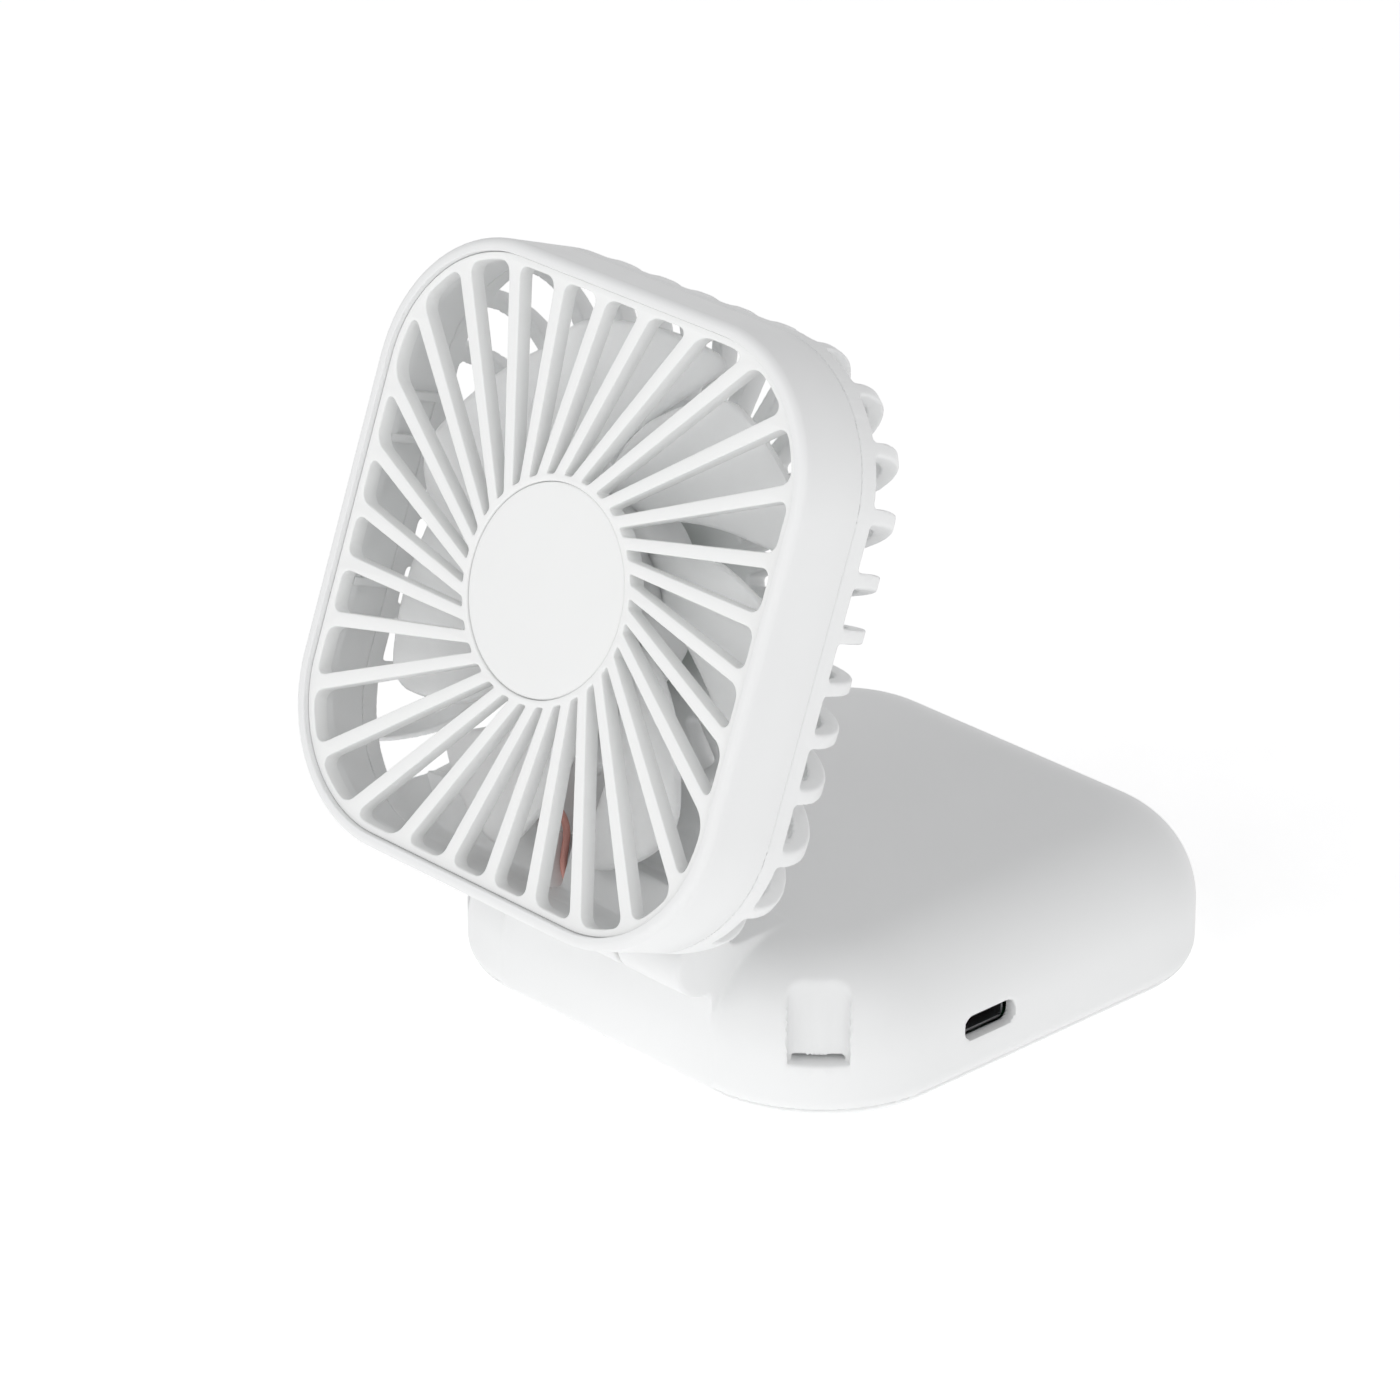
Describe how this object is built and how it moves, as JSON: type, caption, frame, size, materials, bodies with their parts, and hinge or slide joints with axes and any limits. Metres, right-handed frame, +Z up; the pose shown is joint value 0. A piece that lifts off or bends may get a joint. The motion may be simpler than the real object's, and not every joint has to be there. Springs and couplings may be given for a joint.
{
  "type": "handheld electric fan",
  "caption": "Small folding fan: a rounded-square caged head hinged on a pebble-shaped battery base that serves as desk stand or handle.",
  "frame": {"origin": "centre of the base's resting plane, under the middle of the base", "axes": "+Z up from the resting plane; -Y the side the head blows towards at rest and where the hinge is; +X the side with the charging socket"},
  "size_m": [0.0822, 0.1101, 0.1102],
  "materials": {
    "shell_white": "fine satin",
    "grille_white": "fine satin",
    "blade_frost": "translucent milky",
    "button_white": "satin",
    "light_pipe_clear": "clear frosted",
    "feet_rubber": "matte",
    "steel": "satin",
    "socket_steel": "satin",
    "black_plastic": "matte",
    "board_green": "solder mask",
    "chip_black": "matte",
    "cell_foil": "foil wrap",
    "pad_foam": "foam",
    "core_steel": "stacked sheet",
    "copper_wire": "enamelled",
    "sleeve_brass": "machined",
    "magnet_dark": "sintered",
    "lead_red": "satin",
    "lead_black": "satin",
    "washer_nylon": "satin"
  },
  "bodies": {
    "base": {"base_top_housing": "shell_white", "base_bottom_cover": "shell_white", "rubber_feet": "feet_rubber", "base_screws": "steel", "control_board": "board_green", "board_screws": "steel", "board_components": "chip_black", "usb_socket": "socket_steel", "usb_socket_tongue": "black_plastic", "tactile_switch": "black_plastic", "light_pipe": "light_pipe_clear", "battery_cell": "cell_foil", "battery_adhesive_pad": "pad_foam", "hinge_pins": "steel", "friction_washers": "washer_nylon", "red_base_lead": "lead_red", "black_base_lead": "lead_black", "red_battery_lead": "lead_red", "black_battery_lead": "lead_black"},
    "head": {"front_frame": "shell_white", "front_grille": "grille_white", "centre_cap": "grille_white", "rear_shell": "shell_white", "bearing_sleeve": "sleeve_brass", "stator_core": "core_steel", "stator_windings": "copper_wire", "motor_board": "board_green", "motor_board_chips": "chip_black", "red_motor_lead": "lead_red", "black_motor_lead": "lead_black"},
    "impeller": {"impeller": "blade_frost", "rotor_yoke": "steel", "rotor_magnet": "magnet_dark", "rotor_shaft": "steel"},
    "power_button": {"power_button": "button_white"}
  },
  "joints": [
    {"name": "head_tilt", "type": "hinge", "parent": "base", "child": "head", "pos_m": [0, -0.0437, 0.0216], "axis": [1, 0, 0], "range_deg": [-69.5, 110.5]},
    {"name": "impeller_spin", "type": "hinge", "parent": "head", "child": "impeller", "pos_m": [0, -0.04339, 0.06782], "axis": [0, -0.9367, 0.3502], "continuous": true},
    {"name": "button_press", "type": "slide", "parent": "base", "child": "power_button", "axis": [1, 0, 0], "range_m": [0, 0.0004], "stiffness_N_per_m": 1500}
  ]
}
